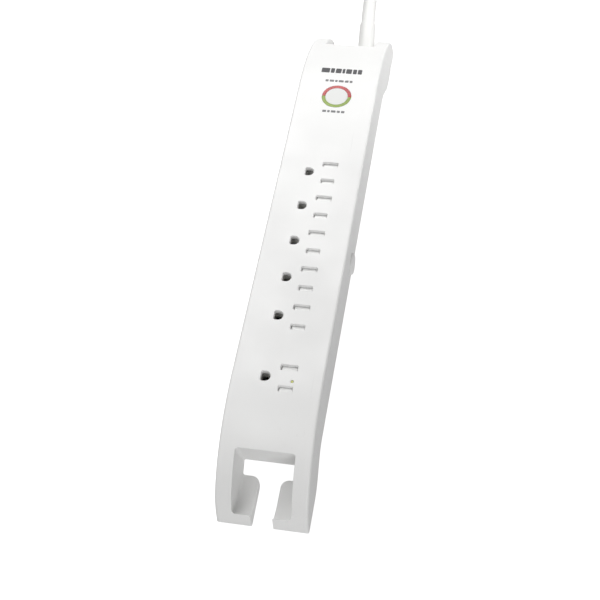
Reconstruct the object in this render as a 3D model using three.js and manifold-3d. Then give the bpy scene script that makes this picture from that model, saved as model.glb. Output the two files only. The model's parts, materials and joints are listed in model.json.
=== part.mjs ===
// A six-outlet surge-protected power strip, in millimetres.
// +Z is up, +Y runs to the end where the cord leaves, and +X is the side with the reset button.
// The origin is on the surface that the strip stands on, under the middle of its housing.
import * as THREE from "three";
import { mergeVertices } from "three/addons/utils/BufferGeometryUtils.js";
import Module from "manifold-3d";

const wasm = await Module();
wasm.setup();

// ---------------------------------------------------------------- driving dimensions
const LENGTH = 353;
const WIDTH = 49.5;
const HEIGHT = 46;
const WALL = 2.4;
const GAP = 0.3; // clearance between pieces that touch
const END = LENGTH / 2;
const SIDE = WIDTH / 2;
const EDGE_ROUND = 1.4; // rounding along the face's long edges
const SOLE = 1; // the housing's feet stop here, and rubber pads reach down to zero
const BELLY = 15.5; // underside of the raised middle
const NOTCH_END = { run: 67.5, power: 2, rampTop: -128, rampFoot: -156 };
const CORD_END = { run: 72, power: 1.78, rampTop: 117, rampFoot: 149 };

// Cord-wrap opening at the notch end: a window in the face over a T-shaped floor slot.
const WINDOW_HALF = 15.8;
const STEM_HALF = 5.8;
const THROAT_TOP = -148.5; // the wall that closes the body leans in from here
const THROAT_FOOT = { y: -142.7, z: 11.5 }; // and ends here
const LIP = { y: -149, top: 6.2, corner: 4.6 };
const SILL = { y: -174.3, top: 12, dish: 11 };

// Recess between the two feet at the cord end.
const RECESS_HALF = 15.6;
const RECESS_WALL = 147.5;

// Outlets: NEMA 5-15R, blades 12.7 mm apart and 11.9 mm from the ground pin.
const OUTLET_X = -0.6;
const PITCH = 25.4;
const FIRST_OUTLET = 30;
const OUTLETS = [0, 1, 2, 3, 4, 5.5].map((step) => FIRST_OUTLET - step * PITCH);
const GROUND_X = OUTLET_X - 5.95;
const BLADE_X = OUTLET_X + 5.95;
const BLADE_Y = 6.35;
const GROUND_HOLE = { radius: 2.9, flat: 2.3, corner: 0.7 };
const SLOT = { neutral: 9.2, hot: 8, mouth: 3.6, throat: 2.5, bevel: 1 };

// Shutters under the slots, in a shallow pocket of the ceiling. Their tray carries the springs.
const SHUTTER = { bottom: 41.9, top: 43.3, padTop: 44.1, travel: 3.6 };
const POCKET = { west: -3.2, east: 11.2, south: -122.7, north: 46, top: 44.3 };
const TRAY = { bottom: 39.1, top: 41.6, west: -11, east: 12.5, south: -124, north: 46 };

// Status ring.
const RING = { x: 0.5, y: 91.1, outer: 9.1, inner: 6.95, bottom: 41.6 };
const LAMP = { x: 8.2, y: -111.4, radius: 0.75 };

// Resettable breaker and its button in the side wall.
const BUTTON = { y: -18, z: 23.5, radius: 6.25, proud: 2, travel: 1.6 };
const COLLAR = { start: 19, end: 20, radius: 7.2 }; // keeps the button in, behind the wall
const BREAKER = { west: 11.6, east: 16.4, south: -36, north: 0.5, bottom: 19.4, top: 34 };

// Bottom cover, its screws and the foot pads.
const COVER = { bottom: 15.9, thickness: 2.2, dip: 11.8 };
const SCREW_X = 19;
const SCREW_Y = [-127, -40, 137];
const PAD = { width: 5.6, length: 14, height: 1.6, x: 20.2, notchY: -165, cordY: 163 };

// Conductors.
const STRIP = { bottom: 22.4, top: 25, thickness: 0.8 };
const CLIP_TOP = 36.6;

// Cord: a round three-core lead, its boot, the stored hank and the plug.
const CORD = 9;
const BOOT = { x: 9.9, z: 24.5, turn: 0.085, length: 30.5, root: 5.4, tip: 5.2, neck: 4.6 };
const HANK = { near: 240, far: 432, layers: 3, x: 0 };
const LEAD_ROUTE = [
  [7.3, 178.5, 24.5],
  [6.3, 190, 24.4],
  [5.4, 203, 24.0],
  [4.8, 216, 23.5],
  [4.5, 228, 23.1],
  [4.5, 239.6, 22.8],
];
const TAIL_ROUTE = [
  [4.5, 432.8, 4.6],
  [4.5, 438, 4.7],
  [4.5, 443, 4.7],
];
const PLUG = { x: 4.5, y: 459, width: 34, length: 36, height: 15, neck: 443.4, axis: 5.9 };

// ---------------------------------------------------------------- finishes
const plastic = (color, roughness) => new THREE.MeshStandardMaterial({ color, roughness });
const metal = (color, roughness) =>
  new THREE.MeshStandardMaterial({ color, roughness, metalness: 1 });
const finish = {
  shell: plastic(0xf1f1ef, 0.42),
  shutter: plastic(0xfafafa, 0.5),
  tray: plastic(0xe4e4e0, 0.6),
  lensRed: plastic(0xc8322f, 0.25),
  lensGreen: plastic(0xa3bb50, 0.25),
  lamp: plastic(0xc9cf5a, 0.25),
  rubber: plastic(0x8d8d8b, 0.85),
  cord: plastic(0xf0f0ee, 0.55),
  black: plastic(0x2b2b2c, 0.6),
  board: plastic(0x2f6b3c, 0.5),
  blue: plastic(0x2b4f9a, 0.4),
  yellow: plastic(0xd9b43a, 0.45),
  wireBlack: plastic(0x1e1e1f, 0.5),
  wireWhite: plastic(0xe8e8e6, 0.5),
  wireGreen: plastic(0x2f7d46, 0.5),
  brass: metal(0xc9a24e, 0.35),
  steel: metal(0xb9bcc0, 0.35),
  nickel: metal(0xcfcfcb, 0.25),
};

// ---------------------------------------------------------------- solids
function solidOf(geometry) {
  const bare = geometry.index ? geometry.toNonIndexed() : geometry;
  const points = new THREE.BufferGeometry();
  points.setAttribute("position", bare.getAttribute("position"));
  const merged = mergeVertices(points, 1e-4);
  return new wasm.Manifold(
    new wasm.Mesh({
      numProp: 3,
      vertProperties: merged.attributes.position.array,
      triVerts: new Uint32Array(merged.index.array),
    }),
  );
}

function geometryOf(solid) {
  const mesh = solid.getMesh();
  return new THREE.BufferGeometry()
    .setAttribute("position", new THREE.BufferAttribute(mesh.vertProperties, 3))
    .setIndex(new THREE.BufferAttribute(mesh.triVerts, 1));
}

const join = (first, ...rest) => rest.reduce((sum, s) => sum.add(s), first);
const cut = (first, ...rest) => rest.reduce((left, s) => left.subtract(s), first);

// A box between two limits on each axis.
function box(x0, x1, y0, y1, z0, z1) {
  const g = new THREE.BoxGeometry(x1 - x0, y1 - y0, z1 - z0);
  g.translate((x0 + x1) / 2, (y0 + y1) / 2, (z0 + z1) / 2);
  return solidOf(g);
}

// A (y, z) outline carried from x0 to x1, with its two rims rounded if asked.
function alongX(points, x0, x1, round = 0) {
  const g = new THREE.ExtrudeGeometry(new THREE.Shape(points.map((p) => new THREE.Vector2(...p))), {
    depth: x1 - x0 - 2 * round,
    steps: 1,
    bevelEnabled: round > 0,
    bevelThickness: round,
    bevelSize: round,
    bevelOffset: -round,
    bevelSegments: 3,
  });
  const axes = new THREE.Matrix4().makeBasis(
    new THREE.Vector3(0, 1, 0),
    new THREE.Vector3(0, 0, 1),
    new THREE.Vector3(1, 0, 0),
  );
  g.translate(0, 0, x0 + round).applyMatrix4(axes);
  return solidOf(g);
}

// An (x, y) shape carried from z0 to z1.
function alongZ(shape, z0, z1, curveSegments = 12) {
  const g = new THREE.ExtrudeGeometry(shape, { depth: z1 - z0, bevelEnabled: false, curveSegments });
  g.translate(0, 0, z0);
  return solidOf(g);
}

// A turned piece: (radius, height) pairs that start and end on the axis, stood on a point.
function turned(profile, axis, x, y, z, sides = 24) {
  const g = new THREE.LatheGeometry(profile.map((p) => new THREE.Vector2(...p)), sides);
  if (axis === "z") g.rotateX(Math.PI / 2);
  if (axis === "x") g.rotateZ(-Math.PI / 2);
  g.translate(x, y, z);
  return solidOf(g);
}

const rod = (radius, length) => [[0, 0], [radius, 0], [radius, length], [0, length]];

// A round tube along hand-set points, stepped about every two or three diameters.
function tube(route, diameter, steps, sides = 10) {
  const path = new THREE.CatmullRomCurve3(route.map((p) => new THREE.Vector3(...p)));
  const section = new THREE.Shape();
  for (let i = 0; i < sides; i += 1) {
    const angle = (2 * Math.PI * i) / sides;
    const at = [(diameter / 2) * Math.cos(angle), (diameter / 2) * Math.sin(angle)];
    if (i === 0) section.moveTo(...at);
    else section.lineTo(...at);
  }
  return solidOf(
    new THREE.ExtrudeGeometry(section, { steps, extrudePath: path, bevelEnabled: false }),
  );
}

// A coil spring along X or Y from one end's centre.
function coilSpring(axis, from, length, radius, wire, turns) {
  class Helix extends THREE.Curve {
    getPoint(t) {
      const angle = 2 * Math.PI * turns * t;
      const along = wire + (length - 2 * wire) * t;
      const side = radius * Math.cos(angle);
      const rise = radius * Math.sin(angle);
      const step = axis === "y" ? [side, along, rise] : [along, side, rise];
      return new THREE.Vector3(...from).add(new THREE.Vector3(...step));
    }
  }
  const section = new THREE.Shape();
  section.absarc(0, 0, wire / 2, 0, 2 * Math.PI);
  return solidOf(
    new THREE.ExtrudeGeometry(section, {
      steps: 9 * turns,
      curveSegments: 3,
      extrudePath: new Helix(),
      bevelEnabled: false,
    }),
  );
}

const strip = new THREE.Group();

function place(name, solid, material) {
  const mesh = new THREE.Mesh(geometryOf(solid), material);
  mesh.name = name;
  strip.add(mesh);
}

// ---------------------------------------------------------------- side profile
// The face is level, and each end plunges to the foot as a quarter of a superellipse.
function faceHeight(y) {
  const end = y < 0 ? NOTCH_END : CORD_END;
  const u = Math.max(0, (Math.abs(y) - (END - end.run)) / end.run);
  return SOLE + (HEIGHT - SOLE) * Math.pow(1 - Math.pow(Math.min(u, 1), end.power), 1 / end.power);
}

function plunge(end, side, steps) {
  const points = [];
  for (let i = 0; i <= steps; i += 1) {
    const angle = (Math.PI / 2) * (i / steps);
    const y = END - end.run + end.run * Math.pow(Math.sin(angle), 2 / end.power);
    points.push([side * y, SOLE + (HEIGHT - SOLE) * Math.pow(Math.cos(angle), 2 / end.power)]);
  }
  return points;
}

// The skirt drops from the raised belly to the foot along half a cosine wave.
function ramp(end, steps) {
  const points = [];
  for (let i = 0; i <= steps; i += 1) {
    const drop = (1 - Math.cos((Math.PI * i) / steps)) / 2;
    const y = end.rampTop + ((end.rampFoot - end.rampTop) * i) / steps;
    points.push([y, BELLY + (SOLE - BELLY) * drop]);
  }
  return points;
}

const RAMP_STEPS = 8;
const PLUNGE_STEPS = 14;
const outline = [
  ...ramp(NOTCH_END, RAMP_STEPS).reverse(),
  ...ramp(CORD_END, RAMP_STEPS),
  ...plunge(CORD_END, 1, PLUNGE_STEPS).reverse(),
  ...plunge(NOTCH_END, -1, PLUNGE_STEPS),
];

// ---------------------------------------------------------------- upper housing
const BELOW = -5; // any height under the soles, for cuts that run out
const ABOVE = 60; // and any over the face
const CEILING = WALL + 0.1; // thickness of the face
const CEILING_STEPS = 24;

function interior() {
  const lean = WALL * 1.02;
  const ceiling = [];
  const south = THROAT_TOP + lean;
  const north = RECESS_WALL - WALL;
  for (let i = 0; i <= CEILING_STEPS; i += 1) {
    const y = north + ((south - north) * i) / CEILING_STEPS;
    ceiling.push([y, faceHeight(y) - CEILING]);
  }
  return alongX(
    [
      [THROAT_FOOT.y + lean, THROAT_FOOT.z],
      [THROAT_FOOT.y + lean, BELOW],
      [north, BELOW],
      ...ceiling,
    ],
    -SIDE + WALL,
    SIDE - WALL,
  );
}

// Window over the lips: leaning throat wall, gap under it, dished lips and sill.
function wrapWindow() {
  const under = THROAT_FOOT.y + WALL + 0.4;
  const dish = [];
  for (let i = 0; i <= 6; i += 1) {
    const angle = (Math.PI / 2) * (i / 6);
    const reach = SILL.top - LIP.top;
    dish.push([SILL.y + SILL.dish * (1 - Math.sin(angle)), LIP.top + reach * (1 - Math.cos(angle))]);
  }
  return alongX(
    [
      [THROAT_TOP, ABOVE],
      [SILL.y, ABOVE],
      ...dish.reverse(),
      [LIP.y, LIP.top - 0.6],
      [LIP.y, BELOW],
      [under, BELOW],
      [under, THROAT_FOOT.z],
      [THROAT_FOOT.y, THROAT_FOOT.z],
      [THROAT_TOP, faceHeight(THROAT_TOP)],
    ],
    -WINDOW_HALF,
    WINDOW_HALF,
  );
}

// Slot through the sill and between the lips, flaring round their corners into the gap.
function wrapSlot() {
  const shape = new THREE.Shape();
  const flare = STEM_HALF + LIP.corner;
  shape.moveTo(-STEM_HALF, -END - 5);
  shape.lineTo(STEM_HALF, -END - 5);
  shape.lineTo(STEM_HALF, LIP.y - LIP.corner);
  shape.absarc(flare, LIP.y - LIP.corner, LIP.corner, Math.PI, Math.PI / 2, true);
  shape.lineTo(flare, LIP.y + 1);
  shape.lineTo(-flare, LIP.y + 1);
  shape.lineTo(-flare, LIP.y);
  shape.absarc(-flare, LIP.y - LIP.corner, LIP.corner, Math.PI / 2, 0, true);
  shape.lineTo(-STEM_HALF, -END - 5);
  return alongZ(shape, BELOW, SILL.top + 4, 6);
}

function cordRecess() {
  const under = RECESS_WALL - WALL - 0.4;
  return alongX(
    [
      [RECESS_WALL, ABOVE],
      [RECESS_WALL, BELLY],
      [under, BELLY],
      [under, BELOW],
      [END + 5, BELOW],
      [END + 5, ABOVE],
    ],
    -RECESS_HALF,
    RECESS_HALF,
  );
}

// Openings of one outlet: a U-shaped hole that is flat on its -X side, and two bevelled slots.
function outletOpenings(y, bottom, top, bevelled) {
  const { radius, flat, corner } = GROUND_HOLE;
  const hole = new THREE.Shape();
  const inset = GROUND_X - flat + corner;
  hole.absarc(GROUND_X, y, radius, -Math.PI / 2, Math.PI / 2);
  hole.absarc(inset, y + radius - corner, corner, Math.PI / 2, Math.PI);
  hole.absarc(inset, y - radius + corner, corner, Math.PI, 1.5 * Math.PI);
  const cuts = [alongZ(hole, bottom, top, 8)];
  for (const [width, side] of [
    [SLOT.neutral, 1],
    [SLOT.hot, -1],
  ]) {
    const at = y + side * BLADE_Y;
    const half = width / 2;
    const west = BLADE_X - half;
    const east = BLADE_X + half;
    cuts.push(box(west, east, at - SLOT.throat / 2, at + SLOT.throat / 2, bottom, top));
    const mouth = SLOT.mouth / 2;
    if (bevelled) cuts.push(box(west, east, at - mouth, at + mouth, HEIGHT - SLOT.bevel, top));
  }
  return cuts;
}

const pegs = SCREW_Y.flatMap((y) => [
  [SCREW_X, y],
  [-SCREW_X, y],
]);

function upperHousing() {
  const shell = cut(alongX(outline, -SIDE, SIDE, EDGE_ROUND), interior());
  const bossFoot = COVER.bottom + COVER.thickness + GAP;
  const bosses = pegs.map(([x, y]) =>
    turned(rod(3, faceHeight(y) - WALL + 0.6 - bossFoot), "z", x, y, bossFoot, 14),
  );
  const bores = pegs.map(([x, y]) => turned(rod(1.5, 15), "z", x, y, bossFoot - 1, 12));
  const padPockets = [PAD.notchY, PAD.cordY].flatMap((y) =>
    [1, -1].map((side) => {
      const half = PAD.width / 2 + GAP;
      const long = PAD.length / 2 + GAP;
      return box(side * PAD.x - half, side * PAD.x + half, y - long, y + long, BELOW, PAD.height + GAP);
    }),
  );
  return cut(
    join(shell, ...bosses),
    ...bores,
    box(POCKET.west, POCKET.east, POCKET.south, POCKET.north, HEIGHT - 2 * CEILING, POCKET.top),
    wrapWindow(),
    wrapSlot(),
    cordRecess(),
    ...padPockets,
    ...OUTLETS.flatMap((y) => outletOpenings(y, HEIGHT - 6, ABOVE, true)),
    turned(rod(RING.outer + GAP, 10), "z", RING.x, RING.y, HEIGHT - 6, 48),
    turned(rod(LAMP.radius + 0.1, 8), "z", LAMP.x, LAMP.y, HEIGHT - 5, 12),
    turned(rod(BUTTON.radius + GAP, 8), "x", SIDE - 5, BUTTON.y, BUTTON.z, 32),
    turned(rod(BOOT.neck + GAP, 8), "y", BOOT.x, RECESS_WALL - 5, BOOT.z, 24),
  );
}

place("upper_housing", upperHousing(), finish.shell);

// ---------------------------------------------------------------- bottom cover and screws
function bottomCover() {
  const south = THROAT_FOOT.y + WALL + 0.7;
  const north = RECESS_WALL - WALL - GAP - 0.1;
  const bend = -131;
  const { bottom, thickness, dip } = COVER;
  const plate = alongX(
    [
      [south, dip],
      [bend, bottom],
      [north, bottom],
      [north, bottom + thickness],
      [bend, bottom + thickness],
      [south, dip + thickness],
    ],
    -SIDE + WALL + GAP,
    SIDE - WALL - GAP,
  );
  const holes = pegs.flatMap(([x, y]) => [
    turned(rod(1.5, 8), "z", x, y, bottom - 1, 12),
    turned(rod(3.3, 2.6), "z", x, y, bottom - 1, 16),
  ]);
  const room = COLLAR.radius + 0.8;
  const reach = COLLAR.start - BUTTON.travel - 0.5;
  const buttonRelief = box(reach, SIDE, BUTTON.y - room, BUTTON.y + room, dip, bottom + 5);
  return cut(plate, buttonRelief, ...holes);
}

place("bottom_cover", bottomCover(), finish.shell);

pegs.forEach(([x, y], i) => {
  const seat = COVER.bottom + 0.1;
  const profile = [[0, 0.7], [0.9, 0.7], [0.9, 0], [2.9, 0], [2.9, 1.2], [1.2, 1.2], [1.2, 14], [0, 14.8]];
  place("cover_screw_" + (i + 1), turned(profile, "z", x, y, seat, 14), finish.steel);
});

for (const [end, y] of [
  ["notch", PAD.notchY],
  ["cord", PAD.cordY],
]) {
  for (const [hand, side] of [
    ["right", 1],
    ["left", -1],
  ]) {
    const half = PAD.width / 2;
    const long = PAD.length / 2;
    const x = side * PAD.x;
    const pad = box(x - half, x + half, y - long, y + long, 0, PAD.height);
    place(`foot_pad_${end}_${hand}`, pad, finish.rubber);
  }
}

// ---------------------------------------------------------------- shutters, springs and tray
const TAB = { west: -2.7, south: -3, north: -1 };
const STOP = { south: 9.2, north: 10.4, top: 43.9 };
const PAD_SHY = 0.5; // a shutter's pad is this much shorter than its slot at each end
const SPRING = { x: -1.45, z: 42.9, radius: 0.75, wire: 0.3, turns: 6 };

// A sliding plate with two windows for the blades, and the pads that close the slots at rest.
function shutter(y) {
  const { travel, bottom, top, padTop } = SHUTTER;
  const reach = BLADE_Y + SLOT.throat / 2;
  const plate = box(0.2, 10.5, y - reach - travel - 1.1, y + reach + 0.9, bottom, top);
  const tab = box(TAB.west, 0.5, y + TAB.south, y + TAB.north, bottom, top);
  const windows = [BLADE_Y, -BLADE_Y].map((slot) => {
    const at = y + slot - travel;
    return box(BLADE_X - 4.7, BLADE_X + 4.7, at - 1.3, at + 1.3, bottom - 1, top + 1);
  });
  const pads = [
    [BLADE_Y, SLOT.neutral],
    [-BLADE_Y, SLOT.hot],
  ].map(([slot, width]) => {
    const half = width / 2 - PAD_SHY;
    return box(BLADE_X - half, BLADE_X + half, y + slot - 1.6, y + slot + 1.6, bottom, padTop);
  });
  return join(cut(plate, ...windows), tab, ...pads);
}

function shutterTray() {
  const { bottom, top, west, east, south, north } = TRAY;
  const plate = box(west, east, south, north, bottom, top);
  const rails = [
    [west, west + 1],
    [east - 1, east],
  ].map(([x0, x1]) => box(x0, x1, south + 12, north, top - 1, HEIGHT - WALL - 0.5));
  const stops = OUTLETS.map((y) =>
    box(SPRING.x - 1.1, SPRING.x + 1.1, y + STOP.south, y + STOP.north, top - 1, STOP.top),
  );
  const passages = OUTLETS.flatMap((y) => outletOpenings(y, bottom - 1, top + 0.1, false));
  return join(cut(plate, ...passages), ...rails, ...stops);
}

OUTLETS.forEach((y, i) => {
  place("shutter_" + (i + 1), shutter(y), finish.shutter);
  const start = y + TAB.north + 0.1;
  const spring = coilSpring(
    "y",
    [SPRING.x, start, SPRING.z],
    y + STOP.south - 0.1 - start,
    SPRING.radius,
    SPRING.wire,
    SPRING.turns,
  );
  place("shutter_spring_" + (i + 1), spring, finish.steel);
});
place("shutter_tray", shutterTray(), finish.tray);

// ---------------------------------------------------------------- bus bars with their clips
const BUS = { south: -121, north: 46 };

// A strip on edge with one spring clip of two leaves for each outlet.
function busBar(stripX, clip) {
  const { bottom, top, thickness } = STRIP;
  const rail = box(stripX, stripX + thickness, BUS.south, BUS.north, bottom, top);
  return join(rail, ...OUTLETS.flatMap((y) => clip(y, stripX)));
}

// Blade clip: leaves face each other along Y, joined by a foot that reaches its strip.
function bladeClip(offset) {
  return (y, stripX) => {
    const at = y + offset;
    const west = BLADE_X - 2.9;
    const east = BLADE_X + 2.9;
    const foot = box(
      Math.min(west, stripX),
      Math.max(east, stripX + STRIP.thickness),
      at - 1.7,
      at + 1.7,
      STRIP.top - 0.6,
      STRIP.top + 0.4,
    );
    const leaves = [-1.7, 1.1].map((d) => box(west, east, at + d, at + d + 0.6, STRIP.top, CLIP_TOP));
    return [foot, ...leaves];
  };
}

// Ground clip: leaves either side of the pin along X.
function groundClip(y, stripX) {
  const foot = box(stripX, GROUND_X + 3.1, y - 2.5, y + 2.5, STRIP.top - 0.6, STRIP.top + 0.4);
  const leaves = [-3.1, 2.5].map((d) =>
    box(GROUND_X + d, GROUND_X + d + 0.6, y - 2.5, y + 2.5, STRIP.top, CLIP_TOP),
  );
  return [foot, ...leaves];
}

place("hot_bus_bar", busBar(0.6, bladeClip(-BLADE_Y)), finish.brass);
place("neutral_bus_bar", busBar(9.4, bladeClip(BLADE_Y)), finish.brass);
place("ground_bus_bar", busBar(GROUND_X - 3.1, groundClip), finish.brass);

// ---------------------------------------------------------------- status ring and lamp
// Half of an annulus, on the +Y side for sense 1 and on the -Y side for -1.
function halfRing(outer, inner, sense, z0, z1) {
  const start = sense > 0 ? 0 : Math.PI;
  const split = GAP / 2;
  const outerTurn = Math.asin(split / outer);
  const innerTurn = Math.asin(split / inner);
  const shape = new THREE.Shape();
  shape.absarc(RING.x, RING.y, outer, start + outerTurn, start + Math.PI - outerTurn);
  shape.absarc(RING.x, RING.y, inner, start + Math.PI - innerTurn, start + innerTurn, true);
  return alongZ(shape, z0, z1, 20);
}

for (const [name, sense, colour] of [
  ["ring_lens_red", 1, finish.lensRed],
  ["ring_lens_green", -1, finish.lensGreen],
]) {
  const top = halfRing(RING.outer, RING.inner, sense, RING.bottom, HEIGHT);
  const flange = halfRing(RING.outer + 1.5, RING.inner, sense, RING.bottom - 0.6, HEIGHT - WALL - 0.5);
  place(name, join(top, flange), colour);
}

const discFoot = RING.bottom - 2.6;
const discProfile = [
  [0, 0],
  [RING.inner + 0.5, 0],
  [RING.inner + 0.5, 1.6],
  [RING.inner - GAP, 1.6],
  [RING.inner - GAP, HEIGHT - discFoot],
  [0, HEIGHT - discFoot],
];
place("ring_centre_disc", turned(discProfile, "z", RING.x, RING.y, discFoot, 40), finish.shell);

// The lamp ends level with the ceiling of the shutters' pocket, so that a shutter slides under it.
const lampRod = rod(LAMP.radius, HEIGHT - POCKET.top);
place("outlet_lamp", turned(lampRod, "z", LAMP.x, LAMP.y, POCKET.top, 10), finish.lamp);

// ---------------------------------------------------------------- circuit board and what is on it
const BOARD = { bottom: 21, top: 22.6, half: 12.5, south: 58, north: 125 };
place(
  "circuit_board",
  box(-BOARD.half, BOARD.half, BOARD.south, BOARD.north, BOARD.bottom, BOARD.top),
  finish.board,
);

for (const [name, sense, colour] of [
  ["protected_led", 1, finish.lensRed],
  ["grounded_led", -1, finish.lensGreen],
]) {
  const y = RING.y + sense * (RING.inner + 1.4);
  const body = turned(rod(1.5, 5), "z", RING.x, y, 33.4, 14);
  const leads = [-1.2, 0.7].map((d) =>
    box(RING.x + d, RING.x + d + 0.5, y - 0.25, y + 0.25, BOARD.top + GAP, 34),
  );
  place(name, join(body, ...leads), colour);
}

[108, 114, 120].forEach((y, i) => {
  const disc = turned(rod(7, 3.8), "y", -5, y - 1.9, 31.5, 20);
  const leads = [-3.4, 2.9].map((d) =>
    box(-5 + d, -5 + d + 0.5, y - 0.25, y + 0.25, BOARD.top + GAP, 28),
  );
  place("surge_varistor_" + (i + 1), join(disc, ...leads), finish.blue);
});

place("filter_capacitor", box(4, 11, 104, 122, BOARD.top + GAP, 34), finish.yellow);
place("thermal_fuse", turned(rod(2, 13), "y", -6, 62, BOARD.top + GAP + 2, 12), finish.nickel);

// ---------------------------------------------------------------- breaker and reset button
function breakerBody() {
  const { west, east, south, north, bottom, top } = BREAKER;
  return box(west, east, south, north, bottom, top);
}
place("breaker_body", breakerBody(), finish.black);

// The cap has a domed face, and its collar stays behind the wall.
function resetButton() {
  const face = SIDE + BUTTON.proud;
  const dome = [];
  const round = 1.7;
  for (let i = 0; i <= 5; i += 1) {
    const angle = (Math.PI / 2) * (i / 5);
    dome.push([
      BUTTON.radius - round * (1 - Math.cos(angle)),
      face - 0.35 - round + round * Math.sin(angle) - COLLAR.start,
    ]);
  }
  const profile = [
    [0, 0],
    [COLLAR.radius, 0],
    [COLLAR.radius, COLLAR.end - COLLAR.start],
    [BUTTON.radius, COLLAR.end - COLLAR.start],
    ...dome,
    [0, face - COLLAR.start],
  ];
  return turned(profile, "x", COLLAR.start, BUTTON.y, BUTTON.z, 32);
}
place("reset_button", resetButton(), finish.shell);
const springSeat = [BREAKER.east + 0.1, BUTTON.y, BUTTON.z];
const springRoom = COLLAR.start - BREAKER.east - 0.2;
place("reset_spring", coilSpring("x", springSeat, springRoom, 4, 0.5, 3), finish.steel);

// ---------------------------------------------------------------- strain relief and inner wires
// A flanged plug in the wall's hole, and outside it a tapering boot that leans toward -X.
function strainRelief() {
  const inside = RECESS_WALL - 7;
  const flange = RECESS_WALL - WALL - GAP;
  const outside = RECESS_WALL + GAP;
  const bush = turned(
    [
      [0, 0],
      [6, 0],
      [6, flange - inside],
      [BOOT.neck, flange - inside],
      [BOOT.neck, outside - inside],
      [BOOT.root, outside - inside],
      [BOOT.root, outside - inside + 2],
      [0, outside - inside + 2],
    ],
    "y",
    BOOT.x,
    inside,
    BOOT.z,
  );
  const cone = [[0, 0], [BOOT.root, 0], [BOOT.tip, BOOT.length - 1.5], [0, BOOT.length - 1.5]];
  const g = new THREE.LatheGeometry(cone.map((p) => new THREE.Vector2(...p)), 24);
  g.rotateZ(BOOT.turn).translate(BOOT.x, outside + 1, BOOT.z);
  return join(bush, solidOf(g));
}
place("strain_relief", strainRelief(), finish.cord);

const WIRE = 2.6;
const wires = {
  hot_wire: [
    [11.6, 139.1, 26.5],
    [14.5, 131, 26.5],
    [16, 118, 26.5],
    [16.2, 60, 26.5],
    [15.6, 18, 26.5],
    [14, 2.2, 26.5],
  ],
  neutral_wire: [
    [7.6, 139.1, 26.8],
    [-3, 133, 27.5],
    [-14.5, 122, 27],
    [-16.2, 90, 27],
    [-13, 58, 26],
    [2, 51.5, 22],
    [9.6, 48, 23.6],
  ],
  ground_wire: [
    [9.6, 139.1, 21.8],
    [-3, 136.5, 20.6],
    [-13.5, 131, 20.6],
    [-17.2, 116, 21.5],
    [-17.4, 90, 21.5],
    [-15.6, 57, 21.5],
    [-10, 47.9, 23.6],
  ],
  breaker_wire: [
    [14, -37.7, 24],
    [12.6, -41, 21],
    [8, -42.5, 20.6],
    [1.2, -42.5, 20.7],
  ],
};
const sheath = {
  hot_wire: finish.wireBlack,
  neutral_wire: finish.wireWhite,
  ground_wire: finish.wireGreen,
  breaker_wire: finish.wireBlack,
};
for (const [name, route] of Object.entries(wires)) {
  place(name, tube(route, WIRE, 5 * route.length, 8), sheath[name]);
}

// ---------------------------------------------------------------- cord, hank and plug
place("cord_lead", tube(LEAD_ROUTE, CORD, 10), finish.cord);
place("cord_tail", tube(TAIL_ROUTE, CORD, 4), finish.cord);

// Outer shape of the folded cord: round loops at both ends and a waist where it is tied.
const LOOP_HALF = 32;
const WAIST_HALF = 10.4;
const TIE = { half: 4, depth: 1.5 };
function hankOutline() {
  const middle = (HANK.near + HANK.far) / 2;
  const reach = (HANK.far - HANK.near) / 2;
  const shape = new THREE.Shape();
  const steps = 48;
  for (let i = 0; i < steps; i += 1) {
    const y = -reach * Math.cos((2 * Math.PI * i) / steps);
    const intoLoop = Math.max(0, LOOP_HALF - (reach - Math.abs(y)));
    const round = Math.sqrt(LOOP_HALF ** 2 - intoLoop ** 2);
    const toWaist = Math.max(0, Math.min(1, (reach - LOOP_HALF - Math.abs(y)) / 48));
    const pinch = ((LOOP_HALF - WAIST_HALF) * (1 - Math.cos(Math.PI * toWaist))) / 2;
    const x = HANK.x + (i < steps / 2 ? 1 : -1) * (round - pinch);
    if (i === 0) shape.moveTo(HANK.x, middle + y);
    else shape.lineTo(i === steps / 2 ? HANK.x : x, middle + y);
  }
  return shape;
}

function cordHank() {
  const middle = (HANK.near + HANK.far) / 2;
  const high = HANK.layers * (CORD + 0.15);
  const solid = alongZ(hankOutline(), 0, high);
  const south = middle - TIE.half - GAP;
  const north = middle + TIE.half + GAP;
  const band = box(-20, 20, south, north, BELOW, high + 5);
  const hold = WAIST_HALF - TIE.depth;
  const core = box(-hold, hold, south - 1, north + 1, TIE.depth, high - TIE.depth);
  return cut(solid, cut(band, core));
}

function hankTie() {
  const middle = (HANK.near + HANK.far) / 2;
  const high = HANK.layers * (CORD + 0.15);
  const hold = TIE.depth - GAP;
  const inner = WAIST_HALF - hold;
  const outer = inner + 0.9;
  const ring = box(-outer, outer, middle - TIE.half, middle + TIE.half, hold - 0.9, high - hold + 0.9);
  return cut(ring, box(-inner, inner, middle - 10, middle + 10, hold, high - hold));
}

place("cord_hank", cordHank(), finish.cord);
place("hank_tie", hankTie(), finish.black);

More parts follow.
